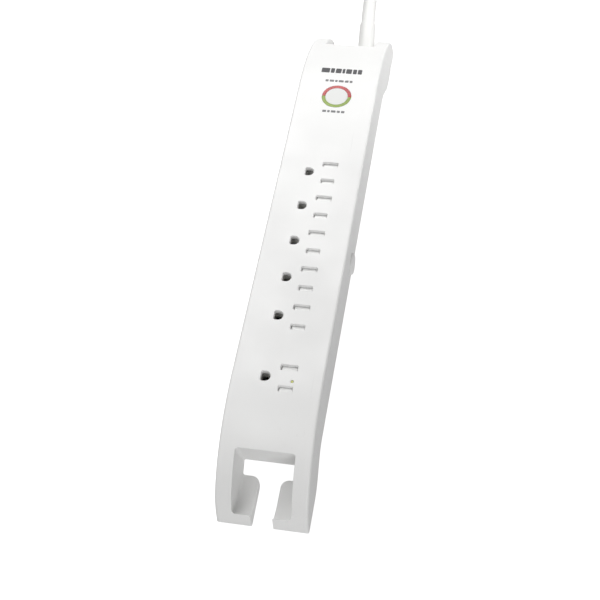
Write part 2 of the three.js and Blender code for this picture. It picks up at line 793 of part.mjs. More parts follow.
function plugBody() {
  const half = PLUG.width / 2;
  const back = PLUG.y;
  const front = PLUG.y + PLUG.length;
  const shape = new THREE.Shape();
  shape.moveTo(PLUG.x - 9, back);
  shape.lineTo(PLUG.x + 9, back);
  shape.quadraticCurveTo(PLUG.x + half, back + 3, PLUG.x + half, back + 15);
  shape.lineTo(PLUG.x + half, front - 8);
  shape.quadraticCurveTo(PLUG.x + half, front, PLUG.x + half - 8, front);
  shape.lineTo(PLUG.x - half + 8, front);
  shape.quadraticCurveTo(PLUG.x - half, front, PLUG.x - half, front - 8);
  shape.lineTo(PLUG.x - half, back + 15);
  shape.quadraticCurveTo(PLUG.x - half, back + 3, PLUG.x - 9, back);
  const slab = alongZ(shape, 0, PLUG.height, 8);
  const neck = turned(
    [[0, 0], [5.3, 0], [5.9, back - PLUG.neck + 1], [0, back - PLUG.neck + 1]],
    "y",
    PLUG.x,
    PLUG.neck,
    PLUG.axis,
    20,
  );
  return join(slab, neck);
}

const PIN_BASE = PLUG.height + GAP;
const BLADE_LINE = PLUG.y + 11;
place("plug_body", plugBody(), finish.cord);
for (const [name, side, width] of [
  ["plug_line_blade", 1, 6.35],
  ["plug_neutral_blade", -1, 7.9],
]) {
  const x = PLUG.x + side * 6.35;
  const [south, north] = [BLADE_LINE - width / 2, BLADE_LINE + width / 2];
  const blade = box(x - 0.75, x + 0.75, south, north, PIN_BASE, PIN_BASE + 17);
  const eye = turned(rod(1.5, 6), "x", x - 3, BLADE_LINE, PIN_BASE + 12.5, 16);
  place(name, cut(blade, eye), finish.nickel);
}
const pinProfile = [[0, 0], [2.4, 0], [2.4, 18], [1.7, 20], [0, 20.6]];
place(
  "plug_ground_pin",
  turned(pinProfile, "z", PLUG.x, BLADE_LINE + 11.9, PIN_BASE, 16),
  finish.nickel,
);

export default strip;
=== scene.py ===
# %% [markdown]
# # A six-outlet power strip
#
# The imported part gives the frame: every solid in its place, in metres, with +Z up, +Y towards the end where
# the cord leaves and +X towards the reset button. This lesson keeps that frame, builds finer skins over the
# pieces that show, and gives each surface a finish worked out by nodes.

import json
import math

import bmesh
import bpy
import numpy as np
from mathutils import Matrix, Vector

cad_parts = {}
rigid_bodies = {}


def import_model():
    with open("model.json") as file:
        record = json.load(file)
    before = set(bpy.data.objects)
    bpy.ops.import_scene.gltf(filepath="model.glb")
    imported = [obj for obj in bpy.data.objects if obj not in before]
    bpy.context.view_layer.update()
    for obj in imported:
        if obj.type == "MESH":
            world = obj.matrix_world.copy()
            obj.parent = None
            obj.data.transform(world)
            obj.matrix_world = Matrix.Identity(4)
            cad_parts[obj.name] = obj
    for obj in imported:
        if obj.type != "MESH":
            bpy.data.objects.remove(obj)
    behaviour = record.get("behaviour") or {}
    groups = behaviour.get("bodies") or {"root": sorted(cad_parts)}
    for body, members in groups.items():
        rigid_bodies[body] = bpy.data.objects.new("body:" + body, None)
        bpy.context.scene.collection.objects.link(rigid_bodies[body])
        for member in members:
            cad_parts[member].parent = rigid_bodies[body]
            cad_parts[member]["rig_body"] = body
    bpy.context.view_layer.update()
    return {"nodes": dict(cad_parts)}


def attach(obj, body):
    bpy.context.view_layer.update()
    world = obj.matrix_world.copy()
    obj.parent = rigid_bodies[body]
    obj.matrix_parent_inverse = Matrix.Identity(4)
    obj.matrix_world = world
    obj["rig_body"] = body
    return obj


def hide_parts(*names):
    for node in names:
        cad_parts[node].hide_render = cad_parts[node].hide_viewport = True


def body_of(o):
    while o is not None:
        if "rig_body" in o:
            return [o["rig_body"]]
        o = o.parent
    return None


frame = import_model()
nodes = frame["nodes"]
MM = 0.001
print(len(nodes), "solids in the frame")

# %% [markdown]
# ## The strip's main sizes
#
# These are the housing's own sizes in millimetres, so that a new skin can follow the solid it stands for.
# A skin could also be measured from the solid's mesh, but a few named sizes are easier to read and change.

# %% Main sizes
END = 176.5
SIDE = 24.75
FACE = 46.0
SOLE = 1.0
BELLY = 15.5
WALL = 2.4
NOTCH_RUN, NOTCH_POWER = 67.5, 2.0
CORD_RUN, CORD_POWER = 72.0, 1.78
WINDOW_HALF = 15.8
STEM_HALF = 5.8
THROAT_TOP, THROAT_FOOT = -148.5, (-142.7, 11.5)
LIP_Y, LIP_TOP, LIP_CORNER = -149.0, 6.2, 4.6
SILL_Y, SILL_TOP, DISH = -174.3, 12.0, 11.0
RECESS_HALF, RECESS_WALL = 15.6, 147.5
OUTLET_X = -0.6
OUTLETS = 30 - 25.4 * np.array([0, 1, 2, 3, 4, 5.5])
RING_X, RING_Y, RING_OUTER, RING_INNER = 0.5, 91.1, 9.1, 6.95
BUTTON_Y, BUTTON_Z = -18.0, 23.5
LAMP_X, LAMP_Y, LAMP_RADIUS = 8.2, -111.4, 0.75
PAD_X, PAD_YS = 20.2, {"notch": -165, "cord": 163}
print("outlets at", OUTLETS.round(1))

# %% [markdown]
# ## The camera and the light
#
# The camera looks down the strip from the notch end and a little to its right. Its matrix is written out as
# three axes and a place, which is the plainest way to repeat a view exactly. A long lens keeps the two long
# edges nearly parallel. A square soft box hangs over the cord end, near enough for its light to fade along
# the face, so the plunging notch end is in half shade. A weaker box overhead reaches into the openings. A
# wide spot from the button's side lifts the cord end, and a low card in front keeps the notch end's steep
# surfaces from going too dark.

# %% Camera
def look_axes():
    """Turns a rotation vector into the camera's three axes: rotation about the unit vector k by angle a is
    I + sin(a) K + (1 - cos(a)) K K, where K is the cross-product matrix of k."""
    turn = np.array([-0.57921679, -0.1275743, -0.14188867])
    angle = np.linalg.norm(turn)
    k = turn / angle
    cross = np.array([[0, -k[2], k[1]], [k[2], 0, -k[0]], [-k[1], k[0], 0]])
    return np.eye(3) + np.sin(angle) * cross + (1 - np.cos(angle)) * cross @ cross


camera = bpy.data.objects.new("camera", bpy.data.cameras.new("camera"))
bpy.context.scene.collection.objects.link(camera)
camera.data.sensor_width = 36
camera.data.lens = 68.114
camera.data.clip_start = 0.01
place = np.eye(4)
place[:3, :3] = look_axes().T
place[:3, 3] = np.array([102.63, -392.40, 560.22]) * MM
camera.matrix_world = Matrix(place.tolist())
bpy.context.scene.camera = camera
print("camera at", place[:3, 3].round(3), "m")


# %% Light
def lamp(name, kind, place, target, energy, **settings):
    """A light at a place, turned so that its -Z axis points at its target."""
    light = bpy.data.objects.new(name, bpy.data.lights.new(name, kind))
    light.data.energy = energy
    for key, value in settings.items():
        setattr(light.data, key, value)
    light.location = place
    light.rotation_mode = "QUATERNION"
    light.rotation_quaternion = (Vector(place) - Vector(target)).to_track_quat("Z", "Y")
    bpy.context.scene.collection.objects.link(light)
    return light


lamp("soft_box", "AREA", (-0.22, 0.40, 0.72), (0, 0.02, 0), 3.6, shape="SQUARE", size=0.5)
lamp("overhead_box", "AREA", (-0.3, -0.22, 0.88), (0, -0.15, 0), 1.8, shape="SQUARE", size=0.4)
lamp("fill_card", "AREA", (0.28, -0.75, 0.3), (0, -0.15, 0), 2.0, shape="SQUARE", size=0.5)
cone = math.radians(32)
lamp("cord_end_spot", "SPOT", (0.5, 0.4, 0.42), (0.02, 0.17, 0.03), 13.0, spot_size=cone, spot_blend=1.0,
     shadow_soft_size=0.12)
world = bpy.data.worlds.new("studio")
bpy.context.scene.world = world
world.use_nodes = True
world.node_tree.nodes["Background"].inputs["Color"].default_value = (1, 1, 1, 1)
world.node_tree.nodes["Background"].inputs["Strength"].default_value = 0.2
bpy.context.scene.view_settings.view_transform = "Standard"
bpy.context.scene.view_settings.look = "None"
print("light set")

# %% [markdown]
# ## Shapes from arrays
#
# Nearly every moulded piece here is an outline carried straight along one axis, with its rims rounded. One
# function makes them all: it offsets the outline inwards ring by ring, along a quarter circle at each rim.
# Turned pieces are a profile carried round an axis, and cords are a circle carried along a path. Each is a
# grid of points worked out as whole arrays and joined into four-sided faces.

# %% Grid surfaces
def mesh_piece(name, points, faces):
    """Puts points in millimetres and faces into a mesh, merges doubles and turns the faces outwards."""
    mesh = bpy.data.meshes.new(name)
    mesh.from_pydata((np.asarray(points) * MM).tolist(), [], faces)
    shell = bmesh.new()
    shell.from_mesh(mesh)
    bmesh.ops.remove_doubles(shell, verts=shell.verts, dist=1e-7)
    bmesh.ops.recalc_face_normals(shell, faces=shell.faces)
    shell.to_mesh(mesh)
    shell.free()
    piece = bpy.data.objects.new(name, mesh)
    bpy.context.scene.collection.objects.link(piece)
    return piece


def grid_faces(rows, columns, first=0):
    """Quads between neighbouring rows whose columns close round on themselves, and a face on each end."""
    index = first + np.arange(rows * columns).reshape(rows, columns)
    around = np.roll(index, -1, axis=1)
    quads = np.stack([index[:-1], around[:-1], around[1:], index[1:]], axis=-1).reshape(-1, 4)
    return quads.tolist() + [index[0, ::-1].tolist(), index[-1].tolist()]


def inset(outline, depth):
    """Moves each corner of an anticlockwise outline inwards: by the sum of its two sides' normals over one
    plus their product, which keeps both sides `depth` away from where they were."""
    ahead = np.roll(outline, -1, axis=0) - outline
    ahead = ahead / np.linalg.norm(ahead, axis=1, keepdims=True)
    after = np.stack([ahead[:, 1], -ahead[:, 0]], axis=1)
    before = np.roll(after, 1, axis=0)
    share = (after + before) / (1 + np.sum(after * before, axis=1, keepdims=True))
    return outline - np.broadcast_to(depth, len(outline))[:, None] * share


COLUMNS = {"x": [2, 0, 1], "y": [0, 2, 1], "z": [0, 1, 2]}


def slab_grid(outline, low, high, round_low=0.0, round_high=0.0, steps=5, axis="z"):
    """An outline carried from low to high. At a rim of radius r, the ring at angle t is inset by
    r (1 - sin t) and stands r (1 - cos t) from the end, so the rim is a quarter circle."""
    outline = np.asarray(outline, float)
    x, y = outline.T
    if np.sum(x * np.roll(y, -1) - y * np.roll(x, -1)) < 0:
        outline = outline[::-1]
    rings = []
    for end, radius, inward in ((low, round_low, 1), (high, round_high, -1)):
        radius = np.broadcast_to(radius, len(outline))
        angles = np.linspace(0, np.pi / 2, steps + 1) if np.any(radius > 0) else [np.pi / 2]
        rows = [
            np.column_stack(
                [inset(outline, radius * (1 - np.sin(t))), end + inward * radius * (1 - np.cos(t))]
            )
            for t in angles
        ]
        rings += rows[::inward]
    return np.stack(rings)[:, :, COLUMNS[axis]]


def slab(name, outline, low, high, *rounding, **settings):
    """A slab_grid made into a piece."""
    grid = slab_grid(outline, low, high, *rounding, **settings)
    return mesh_piece(name, grid.reshape(-1, 3), grid_faces(*grid.shape[:2]))


def arc(centre, radius, start, stop, count):
    """Points on a circle from one angle to another, in degrees."""
    angle = np.radians(np.linspace(start, stop, count))
    return np.column_stack([centre[0] + radius * np.cos(angle), centre[1] + radius * np.sin(angle)])


def rectangle(x0, x1, y0, y1, radius=0.0, count=5):
    """A rectangle's outline with round corners: a quarter circle about each corner's centre."""
    if radius == 0:
        return np.array([[x0, y0], [x1, y0], [x1, y1], [x0, y1]], float)
    return np.vstack(
        [
            arc((x1 - radius, y0 + radius), radius, -90, 0, count),
            arc((x1 - radius, y1 - radius), radius, 0, 90, count),
            arc((x0 + radius, y1 - radius), radius, 90, 180, count),
            arc((x0 + radius, y0 + radius), radius, 180, 270, count),
        ]
    )


def turned_grid(profile, centre, axis="z", sides=64):
    """A closed profile of (radius, height) pairs carried round an axis through `centre`."""
    profile = np.asarray(profile, float)
    angle = np.linspace(0, 2 * np.pi, sides, endpoint=False)
    radius, height = profile[:, :1], np.repeat(profile[:, 1:], sides, axis=1)
    u, v = radius * np.cos(angle), radius * np.sin(angle)
    parts = {"x": (height, u, v), "y": (v, height, u), "z": (u, v, height)}[axis]
    return np.stack(parts, axis=-1) + np.asarray(centre, float)


def turned(name, profile, centre, **settings):
    """A turned_grid made into a piece."""
    grid = turned_grid(profile, centre, **settings)
    return mesh_piece(name, grid.reshape(-1, 3), grid_faces(*grid.shape[:2]))


def many(name, grids):
    """Several grids joined into one piece."""
    points, faces, first = [], [], 0
    for grid in grids:
        points.append(grid.reshape(-1, 3))
        faces += grid_faces(*grid.shape[:2], first)
        first += len(points[-1])
    return mesh_piece(name, np.vstack(points), faces)


print("shape helpers ready")

# %% [markdown]
# ## The housing's outline
#
# Seen from the side, the housing is a bar whose face is level and then plunges to the feet, and whose belly
# is raised between them. Each plunge is a quarter of a superellipse: (y / run) to a power plus (z / height)
# to the same power is one. It is steeper at its foot than a circle and leaves the level face softly. The
# belly comes down to the feet along half a wave of a cosine.

# %% Side outline
def face_height(y):
    """Height of the face over the floor at y, before its rims are rounded."""
    y = np.asarray(y, float)
    run = np.where(y < 0, NOTCH_RUN, CORD_RUN)
    power = np.where(y < 0, NOTCH_POWER, CORD_POWER)
    share = np.clip((np.abs(y) - (END - run)) / run, 0, 1)
    return SOLE + (FACE - SOLE) * (1 - share**power) ** (1 / power)


def plunge(side, run, power, foot, count=30):
    """The face's fall at one end, from its level part down to `foot` above the sole, evenly in angle."""
    lowest = np.arccos((foot / (FACE - SOLE)) ** (power / 2))
    angle = np.linspace(0, lowest, count)
    y = END - run + run * np.sin(angle) ** (2 / power)
    z = SOLE + (FACE - SOLE) * np.cos(angle) ** (2 / power)
    return np.column_stack([side * y, z])


def ramp(top, foot, count=13):
    """The belly's fall from its height to the sole, along half a cosine wave."""
    share = np.linspace(0, 1, count)
    drop = (1 - np.cos(np.pi * share)) / 2
    return np.column_stack([top + (foot - top) * share, BELLY + (SOLE - BELLY) * drop])


TIP = 2.6
north = plunge(1, CORD_RUN, CORD_POWER, TIP)
south = plunge(-1, NOTCH_RUN, NOTCH_POWER, TIP)
outline = np.vstack(
    [
        ramp(-128, -156)[::-1],
        ramp(117, 149),
        arc((north[-1, 0] - TIP, SOLE + TIP), TIP, -90, 0, 6)[:-1],
        north[::-1],
        south,
        arc((south[-1, 0] + TIP, SOLE + TIP), TIP, 180, 270, 6)[1:],
    ]
)
rim = np.where(outline[:, 1] > face_height(outline[:, 0]) - 1, 1.4, 0.7)
rim = np.where((rim > 1) & (outline[:, 1] < 16), 2.0, rim)
rim = (np.roll(rim, 1) + rim + np.roll(rim, -1)) / 3
print(len(outline), "points round the side outline")


# %% Solid body
housing = slab("housing", outline, -SIDE, SIDE, rim, rim, steps=6, axis="x")
print("body", len(housing.data.polygons), "faces")

# %% [markdown]
# ## Cutting the openings
#
# The openings are cut with Boolean modifiers, because an opening's rim on a curved face is an awkward line to
# work out by hand and the cutters are simple slabs. The cutters have rounded rims themselves, which leaves
# soft inner corners as a mould does.

# %% Cutters
def window_outline():
    """Side view of the space over the lips: the throat wall leans in, and the lips dish up to the sill."""
    angle = np.linspace(0, np.pi / 2, 13)
    dish = np.column_stack(
        [
            SILL_Y + DISH * (1 - np.sin(angle)),
            LIP_TOP + (SILL_TOP - LIP_TOP) * (1 - np.cos(angle)),
        ]
    )
    under = THROAT_FOOT[0] + WALL + 0.4
    return np.vstack(
        [
            [[THROAT_TOP, 60], [SILL_Y, 60]],
            dish[::-1],
            [[LIP_Y, LIP_TOP - 0.6], [LIP_Y, -5], [under, -5], [under, THROAT_FOOT[1]]],
            [THROAT_FOOT, [THROAT_TOP, float(face_height(THROAT_TOP))]],
        ]
    )


def stem_outline():
    """Plan of the slot through the sill and between the lips, whose far corners are round."""
    flare = STEM_HALF + LIP_CORNER
    right = arc((flare, LIP_Y - LIP_CORNER), LIP_CORNER, 180, 90, 9)
    side = np.vstack([[[STEM_HALF, -185]], right, [[flare, LIP_Y + 0.6]]])
    return np.vstack([side, (side * [-1, 1])[::-1]])


def cavity_outline():
    """Side view of the hollow inside, one wall's thickness under the face."""
    south_end, north_end = THROAT_TOP + WALL, RECESS_WALL - WALL
    y = np.linspace(north_end, south_end, 40)
    ceiling = np.column_stack([y, face_height(y) - WALL - 0.1])
    foot = THROAT_FOOT[0] + WALL
    return np.vstack([[[foot, THROAT_FOOT[1]], [foot, -5], [north_end, -5]], ceiling])


under = RECESS_WALL - WALL - 0.4
recess_outline = [[RECESS_WALL, 60], [RECESS_WALL, BELLY], [under, BELLY], [under, -5], [185, -5], [185, 60]]
cutters = [
    slab("cavity", cavity_outline(), -SIDE + WALL, SIDE - WALL, axis="x"),
    slab("shutter_pocket", rectangle(-3.2, 11.2, -122.7, 46), 41, 44.3),
    slab("window", window_outline(), -WINDOW_HALF, WINDOW_HALF, 1.6, 1.6, steps=5, axis="x"),
    slab("stem", stem_outline(), -5, SILL_TOP + 5),
    slab("recess", recess_outline, -RECESS_HALF, RECESS_HALF, 1.2, 1.2, steps=3, axis="x"),
]
print(len(cutters), "large cutters")


# %% Outlet cutters
GROUND_X, BLADE_X, BLADE_Y = OUTLET_X - 5.95, OUTLET_X + 5.95, 6.35


def funnel(outline, mouth, depth, through):
    """A cutter that narrows evenly from a mouth, larger all round, to the outline, then goes straight on."""
    outline = np.asarray(outline, float)
    rows = [
        np.column_stack([inset(outline, -mouth), np.full(len(outline), FACE + 0.5)]),
        np.column_stack([inset(outline, -mouth), np.full(len(outline), FACE - 0.15)]),
        np.column_stack([outline, np.full(len(outline), FACE - depth)]),
        np.column_stack([outline, np.full(len(outline), FACE - through)]),
    ]
    return np.stack(rows[::-1])


def outlet_cutters(y):
    """One outlet: a U-shaped hole with a flat west side, a wider neutral slot and a narrower hot slot."""
    west = GROUND_X - 2.1
    hole = np.vstack(
        [
            arc((GROUND_X, y), 2.7, -90, 90, 19),
            arc((west + 0.8, y + 1.9), 0.8, 90, 180, 5),
            arc((west + 0.8, y - 1.9), 0.8, 180, 270, 5),
        ]
    )
    neutral = rectangle(BLADE_X - 4.3, BLADE_X + 4.3, y + BLADE_Y - 1.35, y + BLADE_Y + 1.35, 0.35, 4)
    hot = rectangle(BLADE_X - 3.65, BLADE_X + 3.65, y - BLADE_Y - 1.35, y - BLADE_Y + 1.35, 0.35, 4)
    return [funnel(hole, 0.3, 0.6, 6), funnel(neutral, 0.45, 1.2, 6), funnel(hot, 0.45, 1.2, 6)]


small = [grid for y in OUTLETS for grid in outlet_cutters(y)]
bore = RING_OUTER + 0.05
small.append(turned_grid([[0, 0], [bore, 0], [bore, 9], [0, 9]], (RING_X, RING_Y, 40), sides=96))
small.append(turned_grid([[0, 0], [0.85, 0], [0.85, 8], [0, 8]], (LAMP_X, LAMP_Y, 41), sides=24))
small.append(turned_grid([[0, 0], [6.5, 0], [6.5, 8], [0, 8]], (19, BUTTON_Y, BUTTON_Z), axis="x", sides=64))
small.append(turned_grid([[0, 0], [4.9, 0], [4.9, 8], [0, 8]], (9.9, 142, 24.5), axis="y", sides=48))
for y in PAD_YS.values():
    for side in (-1, 1):
        pocket = rectangle(side * PAD_X - 3.1, side * PAD_X + 3.1, y - 7.3, y + 7.3, 2.8)
        small.append(slab_grid(pocket, -3, 1.9))
pry_notch = rectangle(23.6, 26, 160.5, 163.5)
small.append(slab_grid(pry_notch, -2, 3.2))
cutters.append(many("small_openings", small))
print(len(small), "small cutters")


# %% Cut
def carve(piece, tools):
    """Takes the tools away from the piece with exact Booleans and keeps the result as its plain mesh."""
    for tool in tools:
        step = piece.modifiers.new(tool.name, "BOOLEAN")
        step.operation, step.solver, step.object = "DIFFERENCE", "EXACT", tool
    graph = bpy.context.evaluated_depsgraph_get()
    mesh = bpy.data.meshes.new_from_object(piece.evaluated_get(graph))
    piece.modifiers.clear()
    piece.data = mesh
    for tool in tools:
        bpy.data.objects.remove(tool)
    return piece


carve(housing, cutters)
print("cut housing", len(housing.data.polygons), "faces")


# %% [markdown]
# ## Soft rims
#
# A moulded rim is never knife sharp: its small radius catches the light as a thin bright line. Each edge
# gets a bevel weight from where it is, largest at the recess and smallest at the slots, and one
# Bevel modifier rounds them all.

# %% Edge weights
def edge_angles(mesh):
    """Angle across each edge, from the product of its two faces' normals, and the edge's middle in mm."""
    loops, faces, edges = len(mesh.loops), len(mesh.polygons), len(mesh.edges)
    of_edge = np.zeros(loops, np.int32)
    mesh.loops.foreach_get("edge_index", of_edge)
    sizes = np.zeros(faces, np.int32)
    mesh.polygons.foreach_get("loop_total", sizes)
    normals = np.zeros(faces * 3, np.float32)
    mesh.polygons.foreach_get("normal", normals)
    per_loop = np.repeat(normals.reshape(-1, 3), sizes, axis=0)
    order = np.argsort(of_edge, kind="stable")
    counts = np.bincount(of_edge, minlength=edges)
    first = np.concatenate([[0], np.cumsum(counts)[:-1]])
    pair = np.clip(first[:, None] + [0, 1], 0, loops - 1)
    two = per_loop[order[pair]]
    cosine = np.clip(np.sum(two[:, 0] * two[:, 1], axis=1), -1, 1)
    angle = np.where(counts == 2, np.degrees(np.arccos(cosine)), 0)
    ends = np.zeros(edges * 2, np.int32)
    mesh.edges.foreach_get("vertices", ends)
    co = np.zeros(len(mesh.vertices) * 3, np.float32)
    mesh.vertices.foreach_get("co", co)
    co = co.reshape(-1, 3) / MM
    return angle, co[ends.reshape(-1, 2)].mean(axis=1)


def weigh_edges(mesh, weights):
    """Stores one bevel weight for each edge."""
    layer = mesh.attributes.new("bevel_weight_edge", "FLOAT", "EDGE")
    layer.data.foreach_set("value", np.asarray(weights, np.float32))


angle, middle = edge_angles(housing.data)
x, y, z = middle.T
SHARP = 32
weight = np.where(angle > SHARP, 0.22, 0.0)
at_window = (y < -141) & (np.abs(x) < WINDOW_HALF + 3) & (z > 2)
weight[at_window & (angle > SHARP)] = 0.32
at_recess = (y > 146.8) & (np.abs(x) < RECESS_HALF + 2) & (z > 2)
weight[at_recess & (angle > SHARP)] = 0.7
on_face = (z > face_height(y) - 3) & (np.abs(y) < 130)
weight[on_face & (angle > SHARP)] = 0.14
within = (np.abs(x) < SIDE - WALL + 0.2) & (y > -146) & (y < 145.3) & (z < face_height(y) - 2)
weight[within] = 0.0
weigh_edges(housing.data, weight)
print((weight > 0).sum(), "edges get a soft rim")


# %% Bevel
def soften(piece, width, segments=3, smooth=40):
    """Bevels the weighted edges by up to `width` mm, and shades every face smooth up to `smooth` degrees."""
    bevel = piece.modifiers.new("rims", "BEVEL")
    bevel.limit_method, bevel.width, bevel.segments = "WEIGHT", width * MM, segments
    bevel.use_clamp_overlap, bevel.loop_slide = False, False
    bevel.miter_outer = "MITER_SHARP"
    graph = bpy.context.evaluated_depsgraph_get()
    mesh = bpy.data.meshes.new_from_object(piece.evaluated_get(graph))
    piece.modifiers.clear()
    piece.data = mesh
    return shade(piece, smooth)


def shade(piece, smooth=40):
    """Smooth shading up to an angle, with each corner's normal weighted by its faces' sizes."""
    mesh = piece.data
    mesh.polygons.foreach_set("use_smooth", np.ones(len(mesh.polygons), bool))
    mesh.set_sharp_from_angle(angle=math.radians(smooth))
    weighted = piece.modifiers.new("flat_faces", "WEIGHTED_NORMAL")
    weighted.keep_sharp, weighted.weight = True, 60
    return piece


soften(housing, 1.1)
print("housing", len(housing.data.polygons), "faces")

# %% [markdown]
# ## Finishes as node groups
#
# The real strip is mostly one white plastic with a satin skin. Up close such a skin is never even: it has a
# fine spark-eroded grain, slow waves where the wall cooled, cloudy patches of gloss from handling, and a few
# faint rubs along its length. Those effects are shared by nearly every finish here, so each is a shader
# group with named sockets, placed in every material with its own values.

# %% Group tools
def new_group(name, inputs, outputs):
    """An empty shader group with named sockets, and the nodes at its two ends."""
    tree = bpy.data.node_groups.new(name, "ShaderNodeTree")
    for label, kind, value in inputs:
        socket = tree.interface.new_socket(name=label, in_out="INPUT", socket_type="NodeSocket" + kind)
        socket.default_value = value
    for label, kind in outputs:
        tree.interface.new_socket(name=label, in_out="OUTPUT", socket_type="NodeSocket" + kind)
    return tree, tree.nodes.new("NodeGroupInput"), tree.nodes.new("NodeGroupOutput")


def add(tree, kind, inputs=(), **settings):
    """A node with its settings; an input is either a number or the socket that feeds it."""
    node = tree.nodes.new("ShaderNode" + kind)
    for key, value in settings.items():
        setattr(node, key, value)
    for key, value in dict(inputs).items():
        if isinstance(value, bpy.types.NodeSocket):
            tree.links.new(value, node.inputs[key])
        else:
            node.inputs[key].default_value = value
    return node


def noise(tree, scale, detail=3.0, stretch=(1, 1, 1)):
    """Noise on Object coordinates, in features per metre, longer along an axis whose stretch is small."""
    place = add(tree, "TexCoord").outputs["Object"]
    turned_place = add(tree, "Mapping", {"Vector": place, "Scale": stretch}).outputs["Vector"]
    return add(tree, "TexNoise", {"Vector": turned_place, "Scale": scale, "Detail": detail}).outputs["Fac"]


def between(tree, value, low, high, to_low=0.0, to_high=1.0):
    """Maps low..high to another range, smoothly and without going over its ends."""
    inputs = {"Value": value, "From Min": low, "From Max": high, "To Min": to_low, "To Max": to_high}
    return add(tree, "MapRange", inputs, interpolation_type="SMOOTHSTEP").outputs["Result"]


def mixed(tree, share, first, second):
    """A colour between two others."""
    node = add(tree, "Mix", {0: share, 6: first, 7: second}, data_type="RGBA")
    return node.outputs[2]


print("group tools ready")


# %% Cloudy colour
def cloudy_colour():
    """Colour drifts between two near tones, over patches a few centimetres across and specks within them."""
    white = (1, 1, 1, 1)
    sockets = [("Tone", "Color", white), ("Second Tone", "Color", white), ("Size", "Float", 30.0)]
    tree, start, end = new_group("cloudy_colour", sockets, [("Colour", "Color")])
    patches = between(tree, noise(tree, start.outputs["Size"], 4), 0.32, 0.68)
    drift = mixed(tree, patches, start.outputs["Tone"], start.outputs["Second Tone"])
    tree.links.new(drift, end.inputs["Colour"])
    return tree


cloudy = cloudy_colour()
print(cloudy.name, "made")


# %% Moulded grain
def moulded_grain():
    """Height of the skin: a fine even grain, plus slow sink waves weighed by their own input."""
    sockets = [("Grain Size", "Float", 1800.0), ("Wave Size", "Float", 55.0), ("Wave Share", "Float", 0.5)]
    tree, start, end = new_group("moulded_grain", sockets, [("Height", "Float")])
    fine = noise(tree, start.outputs["Grain Size"], 2)
    waves = noise(tree, start.outputs["Wave Size"], 1)
    height = add(tree, "Math", {0: waves, 1: start.outputs["Wave Share"], 2: fine}, operation="MULTIPLY_ADD")
    tree.links.new(height.outputs["Value"], end.inputs["Height"])
    return tree


grain = moulded_grain()
print(grain.name, "made")


# %% Handling
def handling():
    """Roughness, lower in polished patches and higher in long faint rubs, and the mask of those rubs."""
    sockets = [("Polished", "Float", 0.3), ("Dull", "Float", 0.45), ("Rubs", "Float", 0.6)]
    results = [("Roughness", "Float"), ("Rub Mask", "Float")]
    tree, start, end = new_group("handling", sockets, results)
    patches = between(tree, noise(tree, 38.0, 3), 0.35, 0.65)
    ends = {0: patches, 2: start.outputs["Polished"], 3: start.outputs["Dull"]}
    base = add(tree, "Mix", ends, data_type="FLOAT")
    streaks = between(tree, noise(tree, 900.0, 4, stretch=(1.0, 0.035, 1.0)), 0.62, 0.78)
    zones = between(tree, noise(tree, 21.0, 2), 0.5, 0.7)
    rubs = add(tree, "Math", {0: streaks, 1: zones}, operation="MULTIPLY").outputs["Value"]
    more = add(tree, "Math", {0: rubs, 1: start.outputs["Rubs"]}, operation="MULTIPLY").outputs["Value"]
    lifted = add(
        tree, "Math", {0: more, 1: 0.18, 2: base.outputs[0]}, operation="MULTIPLY_ADD", use_clamp=True
    )
    tree.links.new(lifted.outputs["Value"], end.inputs["Roughness"])
    tree.links.new(more, end.inputs["Rub Mask"])
    return tree


handled = handling()
print(handled.name, "made")

# %% [markdown]
# ## The materials
#
# One function builds them all: the three groups feed a Principled shader's colour, roughness and normal, and
# whatever is even over the surface, such as the coat of a lens, is set on the shader itself.

# %% Material maker
def tone(red, green, blue, share=1.0):
    """A screen colour, 0 to 255, as the linear colour that nodes use: the sRGB curve undone."""
    c = np.array([red, green, blue]) * share / 255
    linear = np.where(c <= 0.04045, c / 12.92, ((c + 0.055) / 1.055) ** 2.4)
    return (*linear.tolist(), 1.0)


looks = {}


def make_finish(name, colour, polished, dull, grain_size=1800.0, depth=0.02, second=0.97, rubs=0.6,
                waves=0.5, cloud=30.0, **shader_settings):
    """A finish: two near tones of its colour, its roughness range, its grain and how deep that is in mm."""
    material = bpy.data.materials.new(name)
    material.use_nodes = True
    tree = material.node_tree
    shader = tree.nodes["Principled BSDF"]
    for label, value in shader_settings.items():
        shader.inputs[label.replace("_", " ")].default_value = value
    colours = add(tree, "Group", node_tree=cloudy)
    colours.inputs["Tone"].default_value = tone(*colour)
    colours.inputs["Second Tone"].default_value = tone(*colour, second)
    colours.inputs["Size"].default_value = cloud
    touch = add(tree, "Group", node_tree=handled)
    touch.inputs["Polished"].default_value, touch.inputs["Dull"].default_value = polished, dull
    touch.inputs["Rubs"].default_value = rubs
    worn = mixed(tree, touch.outputs["Rub Mask"], colours.outputs["Colour"], tone(*colour, 0.93))
    skin = add(tree, "Group", node_tree=grain)
    skin.inputs["Grain Size"].default_value = grain_size
    skin.inputs["Wave Share"].default_value = waves
    relief = add(tree, "Bump", {"Strength": 0.6, "Distance": depth * MM, "Height": skin.outputs["Height"]})
    tree.links.new(worn, shader.inputs["Base Color"])
    tree.links.new(touch.outputs["Roughness"], shader.inputs["Roughness"])
    tree.links.new(relief.outputs["Normal"], shader.inputs["Normal"])
    looks[name] = material
    return material


